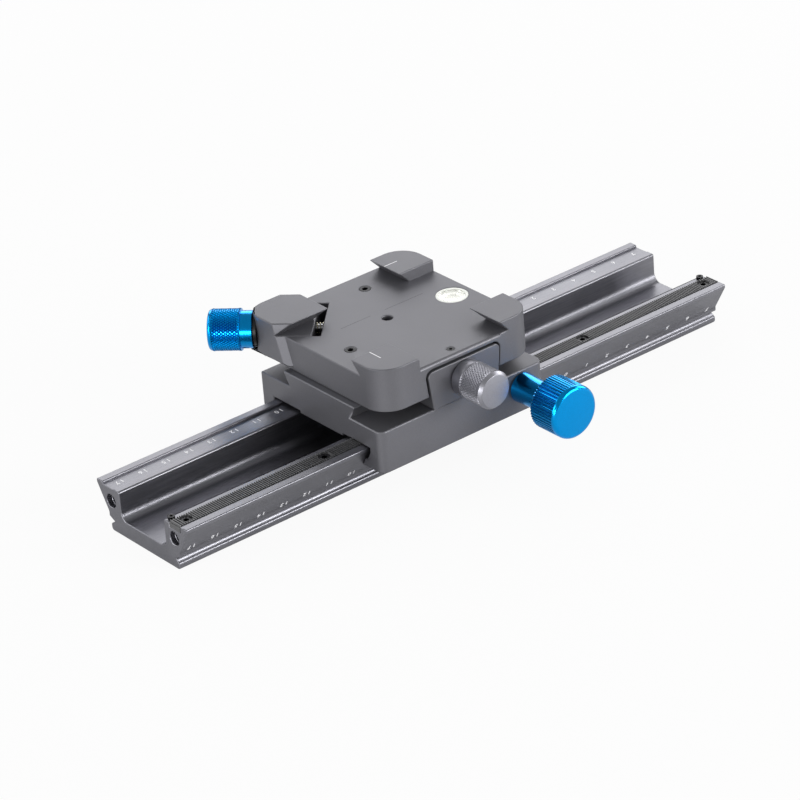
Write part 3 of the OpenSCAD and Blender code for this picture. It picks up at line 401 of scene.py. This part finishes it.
def stand(point, direction, side):
    """A place with its Z along a direction and its X near another, in mm."""
    z = Vector(direction).normalized()
    y = z.cross(Vector(side)).normalized()
    x = y.cross(z)
    place = Matrix((x, y, z)).transposed().to_4x4()
    place.translation = Vector(point) * MM
    return place


def bore(shape, place, r, h0, h1):
    """Drills a round hole into a shape, along the Z of a place, in mm."""
    cutter = bmesh.new()
    bmesh.ops.create_cone(cutter, cap_ends=True, segments=BORE_SIDES, radius1=r * MM,
                          radius2=r * MM, depth=(h1 - h0) * MM,
                          matrix=place @ Matrix.Translation((0, 0, (h0 + h1) / 2 * MM)))
    solids = []
    for part in (shape, cutter):
        data = bpy.data.meshes.new("boring")
        part.to_mesh(data)
        solid = bpy.data.objects.new("boring", data)
        bpy.context.scene.collection.objects.link(solid)
        solids.append(solid)
    cut = solids[0].modifiers.new("bore", "BOOLEAN")
    cut.operation = "DIFFERENCE"
    cut.object = solids[1]
    cut.solver = "EXACT"
    bpy.context.view_layer.update()
    drilled = solids[0].evaluated_get(bpy.context.evaluated_depsgraph_get())
    shape.clear()
    shape.from_mesh(drilled.to_mesh())
    drilled.to_mesh_clear()
    for solid in solids:
        data = solid.data
        bpy.data.objects.remove(solid)
        bpy.data.meshes.remove(data)
    cutter.free()


def coil(start, direction, r, wire, pitch, turns, sides, per_turn):
    """A coil of wire with its first turn at start, closed at both ends, in mm."""
    shape = bmesh.new()
    section = Matrix.Translation((r * MM, 0, 0)) @ Matrix.Rotation(pi / 2, 4, "X")
    bmesh.ops.create_circle(shape, segments=sides, radius=wire * MM, cap_ends=True, matrix=section)
    steps = round(turns * per_turn)
    bmesh.ops.spin(shape, geom=shape.faces[:], cent=(0, 0, 0), axis=(0, 0, 1),
                   dvec=(0, 0, pitch * turns / steps * MM), angle=2 * pi * turns, steps=steps)
    bmesh.ops.remove_doubles(shape, verts=shape.verts, dist=SPIN_WELD)
    bmesh.ops.recalc_face_normals(shape, faces=shape.faces)
    shape.transform(stand(start, direction, (1, 0, 0) if direction[2] else (0, 0, 1)))
    return shape


# Sizes and places that the pieces share, in mm, from the solids
RAIL_HALF = 125
SHELF_Z = 17.25
NUMBERS_Y = 19.5
FLANK_LOW = (-20.6, 6.95)
FLANK_HIGH = (-26.2, 16.75)
FRONT_NUMBERS = (-21.09, 7.80)
END_THREAD = (18.5, 11.95)
FLOOR_Z = 44.15
CLAW_Z = 48.55
DRIVE_Y = -34.3
DRIVE_AXIS = (18.5, 19.88)
TAB_Y = -34.8
TAB_AXIS = (-7, 34.25)
JAW_W = -3.076
JAW_Z = 40.70
DIAGONAL = (-0.5 ** 0.5, 0.5 ** 0.5, 0)


def on_diagonal(u):
    """A point on the corner jaw's screw axis, at a distance u along it."""
    return ((JAW_W - u) * 0.5 ** 0.5, (JAW_W + u) * 0.5 ** 0.5, JAW_Z)


# Machined pieces: the last number is how far their edges are broken, in mm

broken_edges("rail", "rail_extrusion", EXTRUDED, "rail_base", 0.35)
broken_edges("carriage", "carriage_block", BLASTED, "carriage_body", 0.45)
broken_edges("clamp_base", "clamp_block", BLASTED, "clamp", 0.35)
broken_edges("clamp_tab", "tab_plate", BLASTED, "tab", 0.3)
broken_edges("corner_jaw", "jaw_block", BLASTED, "jaw", 0.4)
broken_edges("floor_screws", "clamp_floor_screws", BLACK_OXIDE, "clamp", 0.2)
broken_edges("jaw_washer", "jaw_knob_washer", ACETAL, "jaw", 0.2)

for node, material in {
    "rack": RACK_STEEL, "rack_screws": BLACK_OXIDE, "end_stop_screws": BLACK_OXIDE,
    "tripod_insert": STAINLESS, "gib": BRONZE, "gib_screws": BLACK_OXIDE, "front_bush": BRONZE,
    "inner_bush": BRONZE, "shaft_keeper": BLACK_OXIDE, "pinion_shaft": STAINLESS,
    "drive_knob_grub": BLACK_OXIDE, "tab_limit_screw": BLACK_OXIDE, "level_cup": WHITE_CUP,
    "level_fluid": SPIRIT, "level_bubble": AIR, "level_glass": ACRYLIC, "tab_guide_pins": STAINLESS,
    "tab_springs": SPRING_WIRE, "tab_screw": STAINLESS, "jaw_screw": STAINLESS,
    "jaw_knob_grub": STAINLESS,
}.items():
    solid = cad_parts[node]
    if not solid.material_slots:
        solid.data.materials.append(material)
    for slot in solid.material_slots:
        slot.material = material


# Knobs, with heights in mm from the face that each stands on

GRUB_HOLE_R = 1.3

# The drive knob: a waisted neck, then a head with straight flutes that run out at its rim
DRIVE_LEN = 28.6
DRIVE_NECK = 15.2
DRIVE_NECK_R = 5.7
DRIVE_EDGE = 0.3
WAIST_R = 5.4
WAIST_SIDE_R = 5.45
WAIST_SIDE = 3.1
DRIVE_HEAD = 10
DRIVE_BACK_IN = 0.8
DRIVE_BACK_UP = 0.6
DRIVE_RIM = 1.6
DRIVE_BAND = 0.15
FLUTES = 54
STEPS_A_FLUTE = 8
FLUTE_DEPTH = 0.45
FLUTE_LAND = 0.3
FLUTE_RUNOUT = 0.35
FLUTE_START = DRIVE_NECK + DRIVE_BACK_UP
FLUTE_END = DRIVE_LEN - DRIVE_RIM - DRIVE_BAND - FLUTE_RUNOUT
DRIVE_GRUB_OUT = 6
DRIVE_GRUB_SPAN = (2.6, 7)
drive = turned(
    [(0, 0), (DRIVE_NECK_R - DRIVE_EDGE, 0), (DRIVE_NECK_R, DRIVE_EDGE)]
    + [(WAIST_SIDE_R, DRIVE_NECK / 2 - WAIST_SIDE), (WAIST_R, DRIVE_NECK / 2)]
    + [(WAIST_SIDE_R, DRIVE_NECK / 2 + WAIST_SIDE), (DRIVE_NECK_R, DRIVE_NECK)]
    + [(DRIVE_HEAD - DRIVE_BACK_IN, DRIVE_NECK), (DRIVE_HEAD, FLUTE_START)]
    + [(DRIVE_HEAD, FLUTE_END), (DRIVE_HEAD, FLUTE_END + FLUTE_RUNOUT)]
    + rounded(DRIVE_HEAD, DRIVE_LEN, DRIVE_RIM) + [(0, DRIVE_LEN)], FLUTES * STEPS_A_FLUTE)
straight_flutes(drive, DRIVE_HEAD, FLUTE_START, FLUTE_END, FLUTES, FLUTE_DEPTH, FLUTE_LAND)
drive.transform(stand((DRIVE_AXIS[0], DRIVE_Y, DRIVE_AXIS[1]), (0, -1, 0), (1, 0, 0)))
grub_place = (DRIVE_AXIS[0], DRIVE_Y - DRIVE_GRUB_OUT, DRIVE_AXIS[1])
bore(drive, stand(grub_place, (0, 0, -1), (1, 0, 0)), GRUB_HOLE_R, *DRIVE_GRUB_SPAN)
piece = mesh_piece("fluted_drive_knob", drive, BLUE, "drive", smooth=25)
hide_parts("drive_knob")

COLLAR_EDGE = 0.2

# The tab's knob: a collar, a knurled head, then a slope up to a flat face
TAB_LEN = 16.1
TAB_NECK = 4.5
TAB_NECK_R = 6.7
TAB_HEAD = 7.1
TAB_SHOULDER = 1.3
TAB_STEP = 0.15
TAB_SLOPE_IN = 0.75
TAB_SLOPE_DOWN = 0.45
TAB_FACE_IN = 0.9
TAB_FACE_EDGE = 0.3
TAB_DIAMONDS = 42
tab_knurl = (TAB_HEAD + KNURL_CREST, TAB_NECK + KNURL_HEEL, TAB_LEN - TAB_SHOULDER)
tab = turned(
    [(0, 0), (TAB_NECK_R - COLLAR_EDGE, 0), (TAB_NECK_R, COLLAR_EDGE), (TAB_NECK_R, TAB_NECK)]
    + rows(*tab_knurl)
    + [(TAB_HEAD - TAB_STEP, TAB_LEN - TAB_SHOULDER + TAB_STEP)]
    + [(TAB_HEAD - TAB_SLOPE_IN, TAB_LEN - TAB_SLOPE_DOWN)]
    + rounded(TAB_HEAD - TAB_FACE_IN, TAB_LEN, TAB_FACE_EDGE, steps=4) + [(0, TAB_LEN)],
    TAB_DIAMONDS * 2)
diamond_knurl(tab, *tab_knurl, TAB_DIAMONDS)
tab.transform(stand((TAB_AXIS[0], TAB_Y, TAB_AXIS[1]), (0, -1, 0), (1, 0, 0)))
piece = mesh_piece("knurled_tab_knob", tab, SILVER, "tab_drive", smooth=18,
                   grooves=SILVER_GROOVE)
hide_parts("tab_knob")

# The jaw's knob: a collar with its set screw's hole, then a knurled head with a round rim.
# It is bored before it is knurled, so the hole is placed as the knob lies then.
JAW_U = 58.309
JAW_LEN = 16.2
JAW_COLLAR = 4.3
JAW_COLLAR_R = 6.85
JAW_HEAD = 7.65
JAW_RIM = 1.4
JAW_STEP = 0.1
JAW_DIAMONDS = 46
JAW_GRUB_SPAN = (3, 8)
jaw_knurl = (JAW_HEAD + KNURL_CREST, JAW_COLLAR + KNURL_HEEL, JAW_LEN - JAW_RIM)
jaw_knob = turned(
    [(0, 0), (JAW_COLLAR_R - COLLAR_EDGE, 0), (JAW_COLLAR_R, COLLAR_EDGE)]
    + [(JAW_COLLAR_R, JAW_COLLAR)] + rows(*jaw_knurl)
    + rounded(JAW_HEAD - JAW_STEP, JAW_LEN, JAW_RIM - JAW_STEP) + [(0, JAW_LEN)], JAW_DIAMONDS * 2)
jaw_place = stand(on_diagonal(JAW_U), DIAGONAL, (0, 0, 1))
low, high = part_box("jaw_knob_grub")
grub_mid = (Vector(low) + Vector(high)) / 2 / MM
grub_u = (grub_mid - Vector(on_diagonal(0))).dot(Vector(DIAGONAL))
hole = stand(on_diagonal(grub_u), grub_mid - Vector(on_diagonal(grub_u)), DIAGONAL)
bore(jaw_knob, jaw_place.inverted() @ hole, GRUB_HOLE_R, *JAW_GRUB_SPAN)
diamond_knurl(jaw_knob, *jaw_knurl, JAW_DIAMONDS)
jaw_knob.transform(jaw_place)
# The knurl's valleys take the darker blue: painted shade in the grooves.
piece = mesh_piece("knurled_jaw_knob", jaw_knob, BLUE, "jaw_drive", smooth=18,
                   grooves=BLUE_GROOVE_SHADE)
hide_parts("jaw_knob")


# Spring and threads

# The jaw's return spring shows in the slot.
SPRING_U0 = 28.65
SPRING_U1 = 39.92
SPRING_R = 1.92
SPRING_WIRE_R = 0.22
SPRING_TURNS = 10
spring = coil(on_diagonal(SPRING_U0 + SPRING_WIRE_R), DIAGONAL, SPRING_R, SPRING_WIRE_R,
              (SPRING_U1 - SPRING_U0 - 2 * SPRING_WIRE_R) / SPRING_TURNS, SPRING_TURNS,
              sides=10, per_turn=24)
piece = mesh_piece("jaw_return_spring", spring, SPRING_WIRE, "clamp", smooth=60)
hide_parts("jaw_spring")
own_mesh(piece)

# Threads in the rail's ends and foot: a fine ridge that winds up each bore
END_RIDGE = {"r": 2.57, "wire": 0.15, "pitch": 0.8, "turns": 16.2, "sides": 4, "per_turn": 20}
SMALL_RIDGE = {"r": 2.57, "wire": 0.45, "pitch": 1.27, "turns": 4.2, "sides": 4, "per_turn": 20}
LARGE_RIDGE = {"r": 4.02, "wire": 0.55, "pitch": 1.5875, "turns": 3.2, "sides": 4, "per_turn": 28}
END_RIDGE_IN = 14.5
SMALL_RIDGE_X = 25
SMALL_RIDGE_Z = 0.6
LARGE_RIDGE_Z = 0.7
for side, end in ((-1, "left"), (1, "right")):
    for place, wall in ((-1, "front"), (1, "back")):
        start = (side * (RAIL_HALF - END_RIDGE_IN), place * END_THREAD[0], END_THREAD[1])
        thread = coil(start, (side, 0, 0), **END_RIDGE)
        mesh_piece("end_thread_%s_%s" % (end, wall), thread, EXTRUDED, "rail_base")
    thread = coil((side * SMALL_RIDGE_X, 0, SMALL_RIDGE_Z), (0, 0, 1), **SMALL_RIDGE)
    mesh_piece("small_tripod_thread_%s" % end, thread, EXTRUDED, "rail_base")
thread = coil((0, 0, LARGE_RIDGE_Z), (0, 0, 1), **LARGE_RIDGE)
mesh_piece("large_tripod_thread", thread, STAINLESS, "rail_base")


# Printed scale and marks, in mm

NUMBER_SIZE = 2.85
NUMBER_SPACING = 1.45
FIRST_NUMBER = -7
LAST_NUMBER = 17
ZERO_X = 50
CENTIMETRE = 10
INK_SWELL = 0.05
INK_HALF = 0.015


def number(text, size, place):
    """A printed number as a thin plate of ink at a place."""
    font = bpy.data.curves.new("number", "FONT")
    font.body = text
    font.size = size * MM
    font.align_x = "CENTER"
    font.align_y = "CENTER"
    font.space_character = NUMBER_SPACING
    font.offset = INK_SWELL * MM
    font.extrude = INK_HALF * MM
    font.resolution_u = 3
    written = bpy.data.objects.new("number", font)
    bpy.context.scene.collection.objects.link(written)
    bpy.context.view_layer.update()
    data = bpy.data.meshes.new_from_object(written)
    bpy.data.objects.remove(written)
    bpy.data.curves.remove(font)
    data.transform(place)
    return data


text_right = Vector((-1, 0, 0))
flank_down = Vector((0, FLANK_LOW[0] - FLANK_HIGH[0], FLANK_LOW[1] - FLANK_HIGH[1])).normalized()
on_shelf = Matrix((text_right, Vector((0, -1, 0)), Vector((0, 0, 1)))).transposed().to_4x4()
on_flank = Matrix((text_right, flank_down, text_right.cross(flank_down))).transposed().to_4x4()
for name, turn, y, z in (("scale_numbers_back", on_shelf, NUMBERS_Y, SHELF_Z),
                         ("scale_numbers_front", on_flank, *FRONT_NUMBERS)):
    scale = bmesh.new()
    for count in range(FIRST_NUMBER, LAST_NUMBER + 1):
        place = Matrix.Translation(Vector((ZERO_X - CENTIMETRE * count, y, z)) * MM) @ turn
        data = number(str(abs(count)), NUMBER_SIZE, place)
        scale.from_mesh(data)
        bpy.data.meshes.remove(data)
    mesh_piece(name, scale, INK, "rail_base")

# The lines on the clamp: where each starts and ends, and the share of a line's width
# that rounds its corners
FRONT_MARK = ((-35.2, -17.5), (-35.2, -23.8))
BACK_MARK = ((10.7, 30.75), (16.6, 30.75))
LEFT_SCRIBE = ((-26, 10.7), (-12.4, 10.7))
RIGHT_SCRIBE = ((-5.8, 10.7), (12, 10.7))
MARK_WIDTH = 0.36
SCRIBE_WIDTH = 0.14
CORNER_ROUND = 0.4


def flat_line(name, start, end, width, z, material):
    """A printed line, or the painted shade of a scribed line, on a level face of the clamp, in mm.
    """
    along = Vector(end) - Vector(start)
    middle = (Vector(start) + Vector(end)) / 2
    shape = bmesh.new()
    place = (Matrix.Translation((middle.x * MM, middle.y * MM, z * MM))
             @ Matrix.Rotation(atan2(along.y, along.x), 4, "Z")
             @ Matrix.Diagonal((along.length * MM, width * MM, 2 * INK_HALF * MM, 1)))
    bmesh.ops.create_cube(shape, size=1, matrix=place)
    upright = [e for e in shape.edges if abs((e.verts[0].co - e.verts[1].co).z) > INK_HALF * MM]
    bmesh.ops.bevel(shape, geom=upright, offset=width * CORNER_ROUND * MM, offset_type="OFFSET",
                    segments=3, profile=0.5, affect="EDGES", material=-1, clamp_overlap=True)
    mesh_piece(name, shape, material, "clamp")


flat_line("index_mark_front", *FRONT_MARK, MARK_WIDTH, CLAW_Z, INK)
flat_line("index_mark_back", *BACK_MARK, MARK_WIDTH, CLAW_Z, INK)
# The scribe lines are thin dark strips: painted shade of fine grooves in the clamp's floor.
flat_line("floor_scribe_left", *LEFT_SCRIBE, SCRIBE_WIDTH, FLOOR_Z, SCRIBE_SHADE)
flat_line("floor_scribe_right", *RIGHT_SCRIBE, SCRIBE_WIDTH, FLOOR_Z, SCRIBE_SHADE)


# Floor, lamps and camera, in metres

FLOOR_HALF = 6.0
FIBRE = 2.5 * MM

# How bright the white is: the paper to the camera and in a mirror, and the room
SEEN_WHITE = 0.93
MIRRORED_WHITE = 0.22
ROOM_LEVEL = 0.36


def floor_material():
    """Pale paper: near white where the camera or a polished face sees it, with soft shadows."""
    material, tree, output = new_material("pale_studio_paper")
    place = add(tree, "ShaderNodeTexCoord")
    fibre = add(tree, "ShaderNodeTexNoise", {
        "Vector": place.outputs["Object"], "Scale": 1 / FIBRE, "Detail": 2.0})
    colour = add(tree, "ShaderNodeMix", {
        "Factor": fibre.outputs["Fac"], "A": linear("#dadada"), "B": linear("#e0e0e0")},
        data_type="RGBA")
    paper = add(tree, "ShaderNodeBsdfDiffuse", {"Color": colour.outputs["Result"]})
    white = add(tree, "ShaderNodeEmission", {"Color": (1, 1, 1, 1), "Strength": 1.0})
    ray = add(tree, "ShaderNodeLightPath")
    second = add(tree, "ShaderNodeMath", {
        0: ray.outputs["Is Glossy Ray"], 1: ray.outputs["Is Transmission Ray"]},
        operation="MAXIMUM")
    mirrored = add(tree, "ShaderNodeMath", {
        0: second.outputs[0], 1: MIRRORED_WHITE}, operation="MULTIPLY")
    seen = add(tree, "ShaderNodeMath", {
        0: ray.outputs["Is Camera Ray"], 1: SEEN_WHITE}, operation="MULTIPLY")
    share = add(tree, "ShaderNodeMath", {
        0: mirrored.outputs[0], 1: seen.outputs[0]}, operation="MAXIMUM")
    surface = add(tree, "ShaderNodeMixShader", {
        "Fac": share.outputs[0], 1: paper.outputs["BSDF"], 2: white.outputs["Emission"]})
    tree.links.new(surface.outputs["Shader"], output.inputs["Surface"])
    return material


ground = bmesh.new()
bmesh.ops.create_grid(ground, x_segments=2, y_segments=2, size=FLOOR_HALF)
data = bpy.data.meshes.new("studio_floor")
ground.to_mesh(data)
ground.free()
data.materials.append(floor_material())
studio_floor = bpy.data.objects.new("studio_floor", data)
bpy.context.scene.collection.objects.link(studio_floor)

world = bpy.data.worlds.new("soft_room")
bpy.context.scene.world = world
world.use_nodes = True
room = world.node_tree
room.nodes.clear()
ray = add(room, "ShaderNodeLightPath")
level = add(room, "ShaderNodeMapRange", {
    "Value": ray.outputs["Is Camera Ray"], "To Min": ROOM_LEVEL, "To Max": 1.0})
sky = add(room, "ShaderNodeBackground", {"Color": (1, 1, 1, 1), "Strength": level.outputs["Result"]})
add(room, "ShaderNodeOutputWorld", {"Surface": sky.outputs["Background"]})

# Soft lamps: where each stands, its size and its watts. All face the object.
LAMPS = {
    "backdrop": ((0.6, 0.8, 0.5), (1.2, 0.6), 5.1),
    "back_left": ((-0.45, 0.7, 0.5), (0.6, 0.5), 1.5),
    "right": ((0.9, -0.2, 0.4), (0.5, 0.5), 3.2),
    "front_left_low": ((-0.95, -0.55, 0.15), (0.5, 0.25), 3.8),
    "front_right": ((0.45, -0.9, 0.3), (0.6, 0.4), 7.0),
    "left": ((-0.95, 0.2, 0.35), (0.5, 0.5), 3.0),
}
LAMPS_FACE = Vector((0, 0, 0.03))
for name, (stands, size, watts) in LAMPS.items():
    lamp = bpy.data.lights.new("softbox_" + name, "AREA")
    lamp.shape = "RECTANGLE"
    lamp.size, lamp.size_y = size
    lamp.energy = watts
    box = bpy.data.objects.new("softbox_" + name, lamp)
    box.location = stands
    box.rotation_euler = (LAMPS_FACE - Vector(stands)).to_track_quat("-Z", "Y").to_euler()
    box.visible_camera = False
    bpy.context.scene.collection.objects.link(box)

# The camera, placed by the spacing of the numbers on the photographed scale
camera_data = bpy.data.cameras.new("camera")
camera_data.sensor_width = 36
camera_data.lens = 178.73
camera_data.clip_start = 0.05
camera_data.clip_end = 20
camera = bpy.data.objects.new("camera", camera_data)
camera.location = (-0.766229, -1.001162, 0.685596)
camera.rotation_euler = [radians(a) for a in (61.730158, 4.114137, -39.260942)]
bpy.context.scene.collection.objects.link(camera)
bpy.context.scene.camera = camera

bpy.context.scene.view_settings.view_transform = "Standard"
